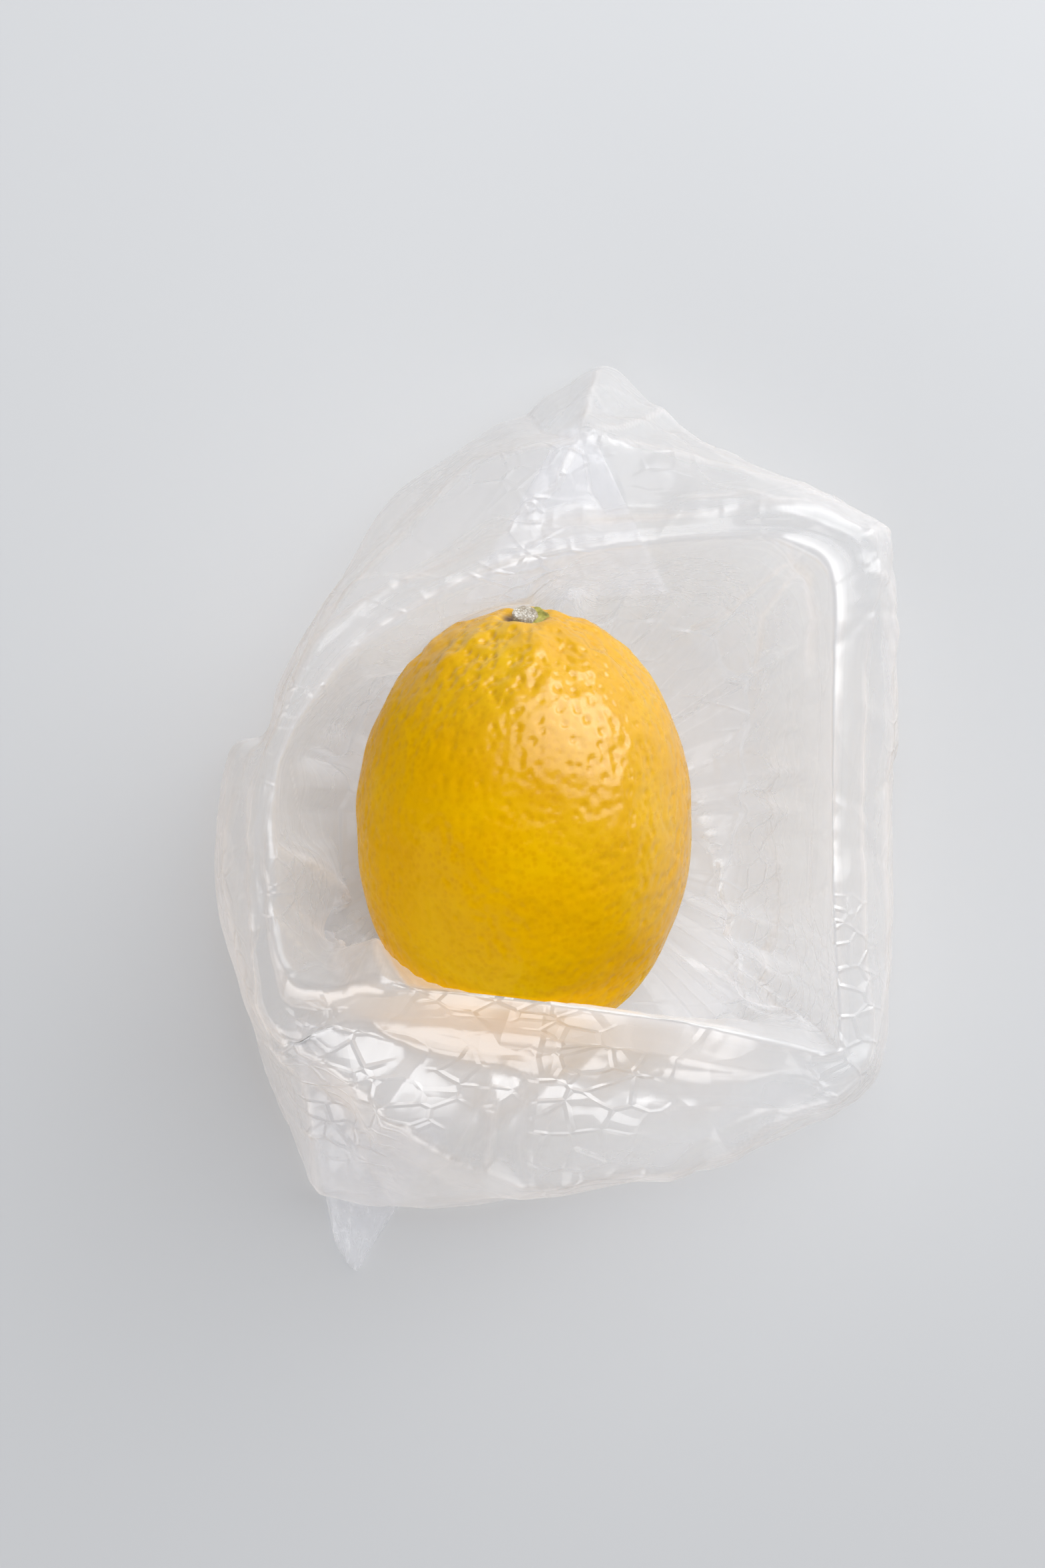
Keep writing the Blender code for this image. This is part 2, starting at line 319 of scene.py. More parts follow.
def stem_material():
    wood = Nodes("cut_wood")
    greys = [(0.0, (0.92, 0.9, 0.86)), (0.35, (0.76, 0.73, 0.67)), (0.6, (0.42, 0.37, 0.3))]
    fibres = wood.ramp(wood.voronoi(2300, "F1"), greys)
    stain = wood.ramp(wood.noise(430, 3), [(0.4, 0.0), (0.62, 0.55)])
    wood.feed(wood.shader.inputs["Base Color"], wood.mix(stain, fibres, (0.30, 0.24, 0.16)))
    wood.shader.inputs["Roughness"].default_value = 0.8
    wood.link(wood.bump(wood.noise(1900, 3), 0.00025, 0.9), wood.shader.inputs["Normal"])
    return wood.material


def calyx_reach(turn):
    return 3.45 + 0.3 * math.cos(5 * turn) + 0.12 * math.cos(9 * turn + 1)


def stem_reach(turn):
    return 2.3 + 0.06 * math.cos(7 * turn) + 0.05 * math.cos(12 * turn)


def make_stem_end():
    calyx_rings = [(0, -0.3), (0.6, -0.3), (0.95, -0.25), (1.0, 0.02), (0.97, 0.3)]
    calyx_rings += [(0.84, 0.42), (0.7, 0.33), (0.4, 0.25), (0, 0.25)]
    stem_rings = [(0, -0.7), (0.9, -0.7), (0.97, -0.6), (1.0, 0.2), (0.95, 0.55)]
    stem_rings += [(0.84, 0.68), (0.6, 0.58), (0.4, 0.66), (0.15, 0.5), (0, 0.5)]
    stem_disc("calyx_star", "calyx", calyx_reach, calyx_rings, 80, 0.1,
              calyx_material(), (1.1, 0.2, 0.75))
    stem_disc("cut_stem", "stem_stub", stem_reach, stem_rings, 72, 0.12,
              stem_material())


# --- Floor, lights and camera ---


def floor_material():
    floor = Nodes("table_top")
    shade = floor.ramp(floor.noise(1.4, 2), [(0.3, (0.635, 0.648, 0.665)), (0.7, (0.65, 0.663, 0.68))])
    floor.feed(floor.shader.inputs["Base Color"], shade)
    floor.shader.inputs["Roughness"].default_value = 0.55
    floor.shader.inputs["Specular IOR Level"].default_value = 0.25
    floor.link(floor.bump(floor.noise(900, 2), 0.00002, 0.3), floor.shader.inputs["Normal"])
    return floor.material


def make_floor():
    mesh = bpy.data.meshes.new("table_top")
    reach = 3.0
    corners = [(-reach, -reach, 0), (reach, -reach, 0), (reach, reach, 0), (-reach, reach, 0)]
    mesh.from_pydata(corners, [], [(0, 1, 2, 3)])
    mesh.materials.append(floor_material())
    made = bpy.data.objects.new("table_top", mesh)
    bpy.context.scene.collection.objects.link(made)


def panel_light(name, place, aim, width, height, power, colour):
    """A soft light facing a point."""
    lamp = bpy.data.lights.new(name, "AREA")
    lamp.shape = "RECTANGLE"
    lamp.size = width
    lamp.size_y = height
    lamp.energy = power
    lamp.color = colour
    made = bpy.data.objects.new(name, lamp)
    bpy.context.scene.collection.objects.link(made)
    facing = (Vector(aim) - Vector(place)).to_track_quat("-Z", "Y").to_matrix().to_4x4()
    made.matrix_world = Matrix.Translation(place) @ facing


def light_sheet(name, corner, along_x, along_y, power, colour):
    """A soft light shaped as the parallelogram's rectangle from one corner, shining to its -Z side."""
    across, along = Vector(along_x), Vector(along_y)
    rows = across.normalized(), along.normalized(), across.cross(along).normalized()
    axes = Matrix(rows).transposed().to_4x4()
    lamp = bpy.data.lights.new(name, "AREA")
    lamp.shape = "RECTANGLE"
    lamp.size = across.length
    lamp.size_y = along.length
    lamp.energy = power
    lamp.color = colour
    made = bpy.data.objects.new(name, lamp)
    bpy.context.scene.collection.objects.link(made)
    made.matrix_world = Matrix.Translation(Vector(corner) + across / 2 + along / 2) @ axes


def make_lights():
    # The window: from just left of straight overhead, down to the right, and away behind the object.
    light_sheet("window", (-0.2, 0.05, 1.15), (1.25, 0, -0.7), (0, 1.2, 0), 15.5, (0.985, 0.99, 1.0))
    # The window's lower part, towards the horizon on the far right.
    panel_light("window_low", (1.05, 1.1, 0.6), (0, 0, 0.03), 1.3, 0.6, 6, (0.98, 0.99, 1.0))
    # Light thrown back by the room on the near left, low down, that fills the sides turned from the window.
    panel_light("fill", (-0.9, -1.05, 0.5), (0, 0, 0.02), 2.2, 1.0, 15, (1.0, 0.985, 0.985))
    world = bpy.data.worlds.new("studio")
    world.use_nodes = True
    back = world.node_tree.nodes["Background"]
    back.inputs["Color"].default_value = (0.97, 0.975, 1.0, 1)
    back.inputs["Strength"].default_value = 0.15
    bpy.context.scene.world = world
    bpy.context.scene.view_settings.view_transform = "Standard"


def make_camera():
    camera = bpy.data.cameras.new("camera")
    camera.lens = 60
    camera.sensor_width = 36
    camera.clip_start = 0.01
    made = bpy.data.objects.new("camera", camera)
    bpy.context.scene.collection.objects.link(made)
    made.location = (MIDDLE.x - 0.4 * MM, MIDDLE.y + 7.8 * MM, 512 * MM)
    bpy.context.scene.camera = made


make_floor()
make_lights()
make_camera()
make_lemon()
make_stem_end()

# --- Film bag ---

# Stations anticlockwise from the right about the lemon's middle, in millimetres: the mouth's inner rim,
# the fold's outer edge, the cuff's free edge, the wall's foot as a share of the inner rim's distance
# out, how far below the rim the wall is tucked inwards, and the share of the cuff's reach over which it
# stays high.
STATIONS = [
    ((54.5, 7, 47), (61, 7, 43.5), (70, 7, 3), 0.80, 2, 0.55),
    ((55, 27, 47), (61, 28, 43.5), (70, 29, 3), 0.80, 2, 0.55),
    ((55.5, 40, 46.5), (62, 42, 44), (70, 45, 4), 0.80, 3, 0.5),
    ((53, 48, 46), (61.5, 51.5, 45.5), (69, 54.5, 5), 0.80, 6, 0.4),
    ((45, 51.5, 46), (50, 55.5, 46), (60, 61.5, 5), 0.80, 5, 0.5),
    ((31, 51.5, 46.5), (31, 55.5, 46), (44, 68.5, 4), 0.82, 4, 0.6),
    ((18, 50.2, 47), (18, 54.8, 46), (27, 79, 4), 0.86, 6, 0.55),
    ((10, 49.2, 47), (10, 54.5, 46), (17, 87.8, 3), 0.88, 9, 0.55),
    ((3, 47.8, 47), (3, 54, 46), (9, 86, 3), 0.9, 12, 0.55),
    ((-4, 46, 47), (-4, 52.5, 46), (-3, 79, 3), 0.92, 14, 0.55),
    ((-12, 43, 46.5), (-13, 47.5, 45.5), (-13, 72, 3), 0.94, 17, 0.5),
    ((-23, 37, 45.5), (-26, 41.5, 44.5), (-27, 61, 3), 0.94, 15, 0.4),
    ((-32, 30, 44.5), (-37, 32, 43.5), (-38, 45, 3), 0.92, 8, 0.35),
    ((-40, 20, 43), (-43.5, 21.5, 42), (-47, 28, 3), 0.9, 4, 0.3),
    ((-42.8, 14.5, 42.5), (-46, 16, 41.5), (-49.5, 17.5, 3.5), 0.89, 3, 0.3),
    ((-44.5, 9, 42), (-47.5, 10, 41), (-56.5, 13.5, 4), 0.88, 3, 0.35),
    ((-46, -4, 41.5), (-49, -4.5, 40), (-58, -3, 5), 0.88, 6, 0.35),
    ((-45, -16, 42), (-48, -18, 40), (-58, -13, 5), 0.9, 14, 0.35),
    ((-43.5, -24, 43), (-46.5, -27, 40), (-54, -26, 4), 0.94, 20, 0.3),
    ((-39, -28.5, 45), (-44, -35, 38), (-51.5, -40, 3), 1.05, 20, 0.3),
    ((-25.5, -28, 48.6), (-33, -35, 41), (-48, -55, 2.5), 1.28, 13, 0.5),
    ((-16, -28.6, 50), (-21, -35.5, 41.5), (-44, -65.5, 2.5), 1.42, 8, 0.6),
    ((-8, -29.2, 51.3), (-11, -36.5, 44), (-40.3, -72, 2.5), 1.5, 4, 0.66),
    ((3, -30.5, 51.7), (2, -38, 44), (-26, -75.6, 2.5), 1.5, 3, 0.72),
    ((17, -32.5, 51), (16, -40, 43.5), (-7, -74, 3), 1.42, 3, 0.78),
    ((30, -34.5, 50), (29, -42, 42), (16, -69.5, 3), 1.28, 3, 0.78),
    ((43, -37.5, 48.5), (43, -43.5, 43.5), (40, -65, 4), 1.05, 3, 0.65),
    ((54.5, -40, 47), (58, -43, 45), (60, -55, 5), 0.86, 5, 0.4),
    ((56, -34, 46.5), (62, -37, 43.5), (68.5, -42, 4), 0.82, 3, 0.45),
    ((55, -18, 47), (61, -19, 43.5), (70.5, -23, 3), 0.80, 2, 0.55),
]
COLUMNS_PER_STATION = 24
# The pleats round the bottom of the bag, and how steep their sides may be.
GATHERS = 30
GATHER_SLOPE = 0.55
BASE_ROWS = 18
WALL_ROWS = 42
LAND_ROWS = 9
CUFF_ROWS = 56

# Long folds, as seen from above: the side of the mouth's fold they are on, their points in millimetres,
# how far they stand out and how wide they are.
FOLDS = [
    ("cuff", [(60, 54), (48, 59), (34, 64), (20, 67.5), (10, 68), (-8, 65), (-18, 58)], 3.2, 8),
    ("cuff", [(10, 68), (12, 77), (14.5, 87)], 2.2, 5),
    ("cuff", [(10, 68), (2, 75), (-1, 83)], -1.5, 5),
    ("cuff", [(10, 68), (20, 73), (27, 79)], 1.4, 4),
    ("cuff", [(16, 55.5), (12, 61), (10, 68)], -1.2, 4),
    ("cuff", [(10, 68), (6, 61), (-2, 56)], 1.2, 4),
    ("cuff", [(-45, 17), (-34, 38), (-20, 54), (-8, 65)], 1.8, 5),
    ("cuff", [(-50, 14), (-40, 38), (-26, 58)], -1.2, 5),
    ("cuff", [(-24, 44), (-8, 55), (8, 58), (34, 58)], -1.6, 6),
    ("cuff", [(58, 52), (40, 57.5), (26, 58.5)], 1.0, 3),
    ("cuff", [(58, 50), (64, 44), (67, 30), (67, 10)], 1.4, 4),
    ("cuff", [(60, 52), (66, 53)], 1.2, 3),
    ("cuff", [(-52, 6), (-53, -8), (-51, -22), (-46, -38)], 1.8, 6),
    ("cuff", [(-46, -18), (-43.5, -30), (-40, -44)], 2.6, 5),
    ("cuff", [(-40, -30), (-38, -38), (-23, -51), (-7, -61)], 4.6, 8),
    ("cuff", [(-7, -61), (6, -61.5), (20, -58.5), (33, -60)], 5.0, 10),
    ("cuff", [(33, -60), (39, -56), (44, -52), (60, -44)], 3.0, 7),
    ("cuff", [(33, -60), (44, -59), (56, -52)], -1.5, 5),
    ("cuff", [(-40, -44), (-39, -60), (-38, -72)], 2.0, 5),
    ("cuff", [(-40, -44), (-31, -60), (-25, -73)], -1.4, 6),
    ("cuff", [(-38, -35), (-10, -43), (26, -49), (55, -50)], -2.2, 6),
    ("cuff", [(60, -43), (47, -49), (30, -50), (14, -48)], 1.8, 4),
    ("cuff", [(-7, -61), (-5, -50), (-6, -44)], 1.0, 3),
    ("cuff", [(-1, -60), (0, -50), (-2, -43)], -0.8, 3),
    ("cuff", [(62, -40), (66, -25), (65, 0), (66, 25), (62, 45)], 1.2, 4),
    ("wall", [(4, 46), (-12, 36), (-24, 29)], 3.0, 6),
    ("wall", [(-46, -3), (-35, -17), (-23, -29)], 3.2, 6),
    ("wall", [(-44, -12), (-36, -22), (-30, -29)], -1.2, 4),
    ("wall", [(47, 51), (52, 46), (54, 38), (53, 28)], 1.2, 3),
    ("wall", [(51, 48), (46, 40), (46, 26)], 1.2, 3),
    ("wall", [(51, -38), (48, -30), (49, -16)], 1.2, 3),
    ("wall", [(49, 20), (48, 0), (49, -20)], -0.8, 4),
    ("wall", [(26, 26), (33, 6), (42, -18), (45, -34)], 1.5, 3),
    ("wall", [(30, -26), (40, -30), (52, -38)], 1.2, 4),
    ("wall", [(28, 36), (38, 42), (50, 50)], 1.3, 4),
]


def closed_curve(points, samples):
    """The smooth closed curve through an array of points."""
    points = np.array(points, float)
    before, after, beyond = np.roll(points, 1, 0), np.roll(points, -1, 0), np.roll(points, -2, 0)
    rows = []
    for step in range(samples):
        t = step / samples
        rows.append(0.5 * (
            2 * points + (after - before) * t
            + (2 * before - 5 * points + 4 * after - beyond) * t**2
            + (3 * points - before - 3 * after + beyond) * t**3
        ))
    return np.stack(rows, 1).reshape(len(points) * samples, -1)


def bezier(a, b, c, d, steps):
    """Cubic curves between arrays of points: (steps, columns, 3), without the first row."""
    t = np.linspace(0, 1, steps + 1)[1:, None, None]
    return (1 - t)**3 * a + 3 * (1 - t)**2 * t * b + 3 * (1 - t) * t**2 * c + t**3 * d


def level(vectors):
    flat = vectors * np.array([1, 1, 0])
    return flat / np.linalg.norm(flat, axis=-1, keepdims=True)


def film_grid():
    """The smooth film before it is crumpled: rows, columns, and millimetres from the lemon's middle."""
    inner, outer, edge = (closed_curve([s[k] for s in STATIONS], COLUMNS_PER_STATION) for k in range(3))
    share, tuck, shoulder = (
        closed_curve([(s[k],) for s in STATIONS], COLUMNS_PER_STATION) for k in (3, 4, 5)
    )
    turn = np.linspace(0, math.tau, len(inner), endpoint=False)[:, None]
    waves = 0.9 + 0.035 * np.sin(5 * turn + 1) + 0.03 * np.sin(9 * turn) + 0.02 * np.sin(17 * turn + 2)
    share = share * waves
    foot = inner * np.array([1, 1, 0]) * share + np.array([0, 0, 0.3])
    away, out = level(foot), level(edge - inner)
    up = np.array([0, 0, 1.0])
    middle = np.array([0, 0, 0.3])
    base = middle + (foot - middle) * np.linspace(0.02, 1, BASE_ROWS)[:, None, None] ** 0.8
    wall = bezier(foot, foot + away * 9 + up * 0.4, inner - out * tuck - up * 19, inner, WALL_ROWS)
    near, far = inner + (outer - inner) * 0.33 + up * 0.5, inner + (outer - inner) * 0.67 + up * 0.5
    land = bezier(inner, near, far, outer, LAND_ROWS)
    reach = (edge - outer) * np.array([1, 1, 0])
    drop = outer[:, 2:3] * up
    near, far = outer + reach * shoulder - drop * 0.1, edge - reach * 0.12 + drop * 0.5
    cuff = bezier(outer, near, far, edge, CUFF_ROWS)
    return np.concatenate([base, wall, land, cuff])


def grid_normals(grid):
    across = np.roll(grid, -1, 1) - np.roll(grid, 1, 1)
    along = np.gradient(grid, axis=0)
    normals = np.cross(along, across)
    return normals / np.maximum(np.linalg.norm(normals, axis=-1, keepdims=True), 1e-9)


def unrolled(grid):
    """Each column's and each row's place on the film laid flat, in millimetres, and its length round."""
    fold = BASE_ROWS + WALL_ROWS
    steps = np.linalg.norm(np.roll(grid[fold], -1, 0) - grid[fold], axis=1)
    round_it = np.concatenate([[0], np.cumsum(steps)])
    rows = np.linalg.norm(np.diff(grid, axis=0), axis=2).mean(1)
    return round_it[:-1], np.concatenate([[0], np.cumsum(rows)]), round_it[-1]


def facets(across, down, length, spacing, shear, rng):
    """A field of flat facets with straight creases between them, -1 to 1, on the unrolled film."""
    wide, tall = spacing
    count = max(int(length / wide), 3)
    wide = length / count
    lines = int(down[-1] / tall) + 3
    jitter = rng.uniform(-0.46, 0.46, (lines, count, 2))
    heights = rng.uniform(-1, 1, (lines, count))
    spots, lifts = [], []
    for line in range(lines):
        for k in range(-4, count + 4):
            nudge = jitter[line, k % count]
            y = (line - 1 + nudge[1]) * tall
            spots.append(Vector(((k + nudge[0] + (line % 2) / 2) * wide, y)))
            lifts.append(heights[line, k % count])
    verts, _, faces, found, _, _ = delaunay_2d_cdt(spots, [], [], 0, 1e-7)
    lifts = [lifts[source[0]] if source else 0.0 for source in found]
    field = np.zeros((len(down), len(across)))
    sheared = across[None, :] + shear * (down[:, None] - down[-1] / 2)
    sheared = np.mod(sheared, length)
    for face in faces:
        (ax, ay), (bx, by), (cx, cy) = (verts[v] for v in face)
        high, low = max(ay, by, cy), min(ay, by, cy)
        first, last = np.searchsorted(down, [low, high])
        if first == last:
            continue
        part_x, part_y = sheared[first:last], down[first:last, None]
        area = (bx - ax) * (cy - ay) - (cx - ax) * (by - ay)
        if abs(area) < 1e-9:
            continue
        for shift in (0.0, length) if max(ax, bx, cx) > length else (0.0,):
            u = ((part_x + shift - ax) * (cy - ay) - (cx - ax) * (part_y - ay)) / area
            v = ((bx - ax) * (part_y - ay) - (part_x + shift - ax) * (by - ay)) / area
            inside = (u >= -1e-6) & (v >= -1e-6) & (u + v <= 1 + 1e-6)
            a, b, c = (lifts[spot] for spot in face[:3])
            value = a + u * (b - a) + v * (c - a)
            field[first:last][inside] = value[inside]
    return field


def fold_lift(grid, points, height, width):
    """A long fold's tent-shaped lift, tapering at its ends, and its crest line, 0 to 1."""
    points = np.array(points, float)
    ends = np.linalg.norm(np.diff(points, axis=0), axis=1)
    start = np.concatenate([[0], np.cumsum(ends)])
    nearest = np.full(grid.shape[:2], 1e9)
    place = np.zeros(grid.shape[:2])
    for k, (a, b) in enumerate(zip(points, points[1:])):
        way = (b - a) / ends[k]
        offset = grid[..., :2] - a
        t = np.clip(offset @ way, 0, ends[k])
        away = np.linalg.norm(offset - t[..., None] * way, axis=-1)
        closer = away < nearest
        nearest = np.where(closer, away, nearest)
        place = np.where(closer, (start[k] + t) / start[-1], place)
    taper = np.clip(np.minimum(place, 1 - place) * 5 + 0.25, 0, 1)
    line = np.exp(-((nearest / 0.55) ** 2)) * taper
    return height * taper * np.clip(1 - nearest / width, 0, 1) ** 1.1, line


def tent(value):
    """A row of straight-sided ridges, 0 to 1, with its crests at whole numbers."""
    return np.abs(np.mod(value, 1) - 0.5) * 2


def pleats(across, down, length, start, stop):
    """Straight pleats hanging from the rim down the wall, 0 to 1."""
    share = np.clip((down[:, None] - start) / (stop - start), 0, 1)
    turn = across[None, :] / length
    slant = 0.012 * np.sin(math.tau * turn * 3 + 1) * share
    uneven = turn + 0.006 * np.sin(math.tau * turn * 7) + 0.004 * np.sin(math.tau * turn * 13 + 2)
    wide, narrow = tent((uneven + slant) * 34), tent((uneven - 1.4 * slant) * 79)
    strength = 0.5 + 0.5 * np.sin(math.tau * turn * 5 + 0.7)
    return (wide * strength + 0.3 * narrow) * np.sin(math.pi * share)


def gathers(grid, across, length):
    """Broad pleats round the bottom that take up a part of the width the film has to spare there."""
    rings = np.linalg.norm(np.roll(grid, -1, 1) - grid, axis=2).sum(1)
    slope = np.sqrt(np.clip((rings.max() / rings) ** 2 - 1, 0, GATHER_SLOPE**2))
    low = 1 - smooth_step((np.arange(len(grid)) - BASE_ROWS) / (0.8 * WALL_ROWS))
    turn = across / length
    uneven = turn + 0.004 * np.sin(math.tau * turn * 11 + 0.4) + 0.002 * np.sin(math.tau * turn * 23)
    strength = 0.9 + 0.35 * np.sin(math.tau * turn * 9 + 1.3)
    height = slope * low * rings / (2 * GATHERS)
    return height[:, None] * (strength * tent(uneven * GATHERS))[None, :]


def creases(across, down, length, count, reach, height, width, rng):
    """Many short straight creases, thrown about the unrolled film, each a sharp low ridge or groove."""
    field = np.zeros((len(down), len(across)))
    crest = np.zeros_like(field)
    for _ in range(count):
        middle = rng.uniform(0, length), rng.uniform(down[BASE_ROWS], down[-1])
        aim, half = rng.uniform(0, math.pi), rng.uniform(*reach) / 2
        along = np.array([math.cos(aim), math.sin(aim)])
        x = np.mod(across - middle[0] + length / 2, length) - length / 2
        columns = np.nonzero(np.abs(x) < half + 3)[0]
        near_rows = np.nonzero(np.abs(down - middle[1]) < half + 3)[0]
        if not len(columns) or not len(near_rows):
            continue
        x, y = np.meshgrid(x[columns], down[near_rows] - middle[1])
        t = x * along[0] + y * along[1]
        d = np.abs(y * along[0] - x * along[1])
        thick = rng.uniform(*width)
        taper = np.clip((half - np.abs(t)) / (0.4 * half), 0, 1)
        ridge = np.clip(1 - d / thick, 0, 1) * taper
        field[np.ix_(near_rows, columns)] += rng.uniform(*height) * rng.choice([1, 1, -1]) * ridge
        crest[np.ix_(near_rows, columns)] += rng.uniform(0, 1) ** 2 * np.exp(-((d / 0.45) ** 2)) * taper
    return field, np.clip(crest, 0, 1)


def crumple(grid, rng):
    """The film with its long folds, its pleats, its facets and its creases."""
    normals = grid_normals(grid)
    across, down, length = unrolled(grid)
    rows = np.arange(len(grid))
    fold_row = BASE_ROWS + WALL_ROWS
    on_cuff = (rows > fold_row + LAND_ROWS / 2)[:, None]
    lift = np.zeros(grid.shape[:2])
    crests = np.zeros(grid.shape[:2])
    for side, points, height, width in FOLDS:
        chosen = on_cuff if side == "cuff" else (rows <= fold_row)[:, None]
        fold, line = fold_lift(grid, points, height, width)
        lift += np.where(chosen, fold, 0)
        crests = np.maximum(crests, np.where(chosen, line, 0) * (0.9 if height > 0 else 0.4))
    hanging = pleats(across, down, length, down[BASE_ROWS - 4], down[fold_row])
    big = facets(across, down, length, (19, 23), 0.5, rng)
    middling = facets(across, down, length, (8.5, 13), -0.35, rng)
    small = facets(across, down, length, (3.4, 5.2), 0.2, rng)
    patch = smooth_step(facets(across, down, length, (26, 20), 0.0, rng) * 1.6 + 0.3)
    near_rim = np.exp(-(((rows - fold_row - LAND_ROWS / 2) / 8.0) ** 2))[:, None]
    lying = 0.35 + 0.65 * np.abs(normals[..., 2])
    crease = 1.4 * big + lying * (0.55 * middling + 0.14 * patch * small)
    lines, line_crests = creases(across, down, length, 130, (14, 60), (0.35, 0.9), (1.4, 4.0), rng)
    short, short_crests = creases(across, down, length, 90, (4, 12), (0.1, 0.25), (0.6, 1.0), rng)
    under = np.linalg.norm(grid[..., :2] / np.array([24.0, 33.0]), axis=-1)
    calm = 0.1 + 0.9 * smooth_step((under - 0.8) / 0.6)
    back_wall = (~on_cuff) * smooth_step((grid[..., 1] - 10) / 20)
    over_front = smooth_step((grid[..., 1] + 46) / 8) * smooth_step((26 - np.abs(grid[..., 0])) / 8)
    on_lemon = (rows > fold_row - 5)[:, None] * over_front * (grid[..., 1] < 0)
    calm = calm * (1 - 0.5 * near_rim) * (1 - 0.3 * (~on_cuff))
    calm = calm * (1 - 0.45 * back_wall) * (1 - 0.88 * on_lemon)
    on_base = (rows < BASE_ROWS + 3)[:, None] * smooth_step((under - 0.8) / 0.5)
    spare = gathers(grid, across, length)
    lifted = lift + (crease + (lines + short) * lying) * calm + 0.45 * hanging + spare
    moved = grid + normals * lifted[..., None]
    # White along fold and crease crests: painted highlights, partly also the haze of the film bent edge on.
    haze_and_painted_light = 0.42 * crests + 0.16 * np.maximum(line_crests, short_crests) * (1 - near_rim)
    return moved + on_base[..., None] * np.array([0, 0, 0.9]), haze_and_painted_light


def keep_clear(grid):
    """Pushes the film out of the lemon and up from the table."""
    centre = np.array([0, 0, MIDDLE.z / MM])
    turn = np.array(Matrix.Rotation(-LEAN, 3, "X"))
    half = (LEMON_HIGH.x - LEMON_LOW.x) / 2 / MM + 0.7
    sizes = np.array([half, half * 80 / 62, half])
    depth = np.linalg.norm(((grid - centre) @ turn.T) / sizes, axis=-1, keepdims=True)
    under = grid[..., 2:3] < 6
    pushed = np.where((depth < 1) & ~under, centre + (grid - centre) / np.maximum(depth, 1e-6), grid)
    pushed[..., 2] = np.maximum(pushed[..., 2], 0.12)
    return pushed


def make_film():
    rng = np.random.default_rng(11)
    crumpled, haze_and_painted_light = crumple(film_grid(), rng)
    grid = keep_clear(crumpled)
    rows, columns, _ = grid.shape
    points = [Vector(p) * MM + Vector((MIDDLE.x, MIDDLE.y, 0)) for p in grid.reshape(-1, 3)]
    faces = ring_faces(rows, columns)
    middle = len(points)
    points.append(Vector((MIDDLE.x, MIDDLE.y, 0.25 * MM)))
    faces += [(middle, (k + 1) % columns, k) for k in range(columns)]
    corner_haze_and_painted_light = [0.0]
    for ends, shown in CORNERS:
        spots, panes, whiter = corner(ends, shown)
        faces += [tuple(len(points) + k for k in pane) for pane in panes]
        points += spots
        corner_haze_and_painted_light += whiter
    made = mesh_object("bag_film", points, faces, film_material())
    # Whiter along the mouth's fold, along the free edge and where the front is doubled over the lemon's end.
    # The thin lines at the fold's edges are painted highlights as well as haze, and the side turned from the
    # window is whitened with painted light.
    row = np.arange(rows)[:, None]
    turn = np.arange(columns)[None, :] * math.tau / columns
    rim = BASE_ROWS + WALL_ROWS
    haze_and_painted_light = haze_and_painted_light + np.exp(-(((row - rim - LAND_ROWS / 2) / 7.0) ** 2)) * 0.12
    # Painted highlights: thin white lines along the fold's inner and outer edge, partly also the haze of the
    # film folded double.
    haze_and_painted_light += np.exp(-(((row - rim) / 1.1) ** 2)) * (0.55 + 0.2 * np.sin(3 * turn + 1))
    haze_and_painted_light += np.exp(-(((row - rim - LAND_ROWS) / 1.1) ** 2)) * (0.35 + 0.2 * np.sin(5 * turn + 2))
    haze_and_painted_light += np.exp(-(((row - rows + 1) / 1.2) ** 2)) * 0.18
    # Painted light: the film is whitened on the side turned from the window.
    painted_light_on_shaded_side = smooth_step((-0.6 * grid[..., 0] - 0.8 * grid[..., 1] - 12) / 30)
    haze_and_painted_light += 0.1 * painted_light_on_shaded_side * (row > rim)
    doubled = smooth_step((grid[..., 1] + 60) / 14) * smooth_step((-28 - grid[..., 1]) / 3)
    doubled = doubled * smooth_step((44 - np.abs(grid[..., 0] - 2)) / 12) * (row > rim - 4)
    values = np.concatenate([(haze_and_painted_light + 0.52 * doubled).ravel(), corner_haze_and_painted_light]).astype(np.float32)
    layer = made.data.attributes.new("haze_and_painted_light", "FLOAT", "POINT")
    layer.data.foreach_set("value", values)
    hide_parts("bag")


# The bag's two bottom corners, which hold most of the film its bottom has to spare. They lie flat under the
# cuff, and the front one sticks out. Each has its root, its tip and how strongly its white lines, partly
# painted highlights, show.
CORNERS = [
    ((((-46.0, -38.0), (-6.0, -46.0)), ((-37.2, -81.5), (-31.2, -84.6))), 1.0),
    ((((28.0, 45.0), (-12.0, 43.0)), ((13.5, 76.0), (5.0, 73.0))), 0.3),
]
CORNER_ACROSS = 44
CORNER_ALONG = 60


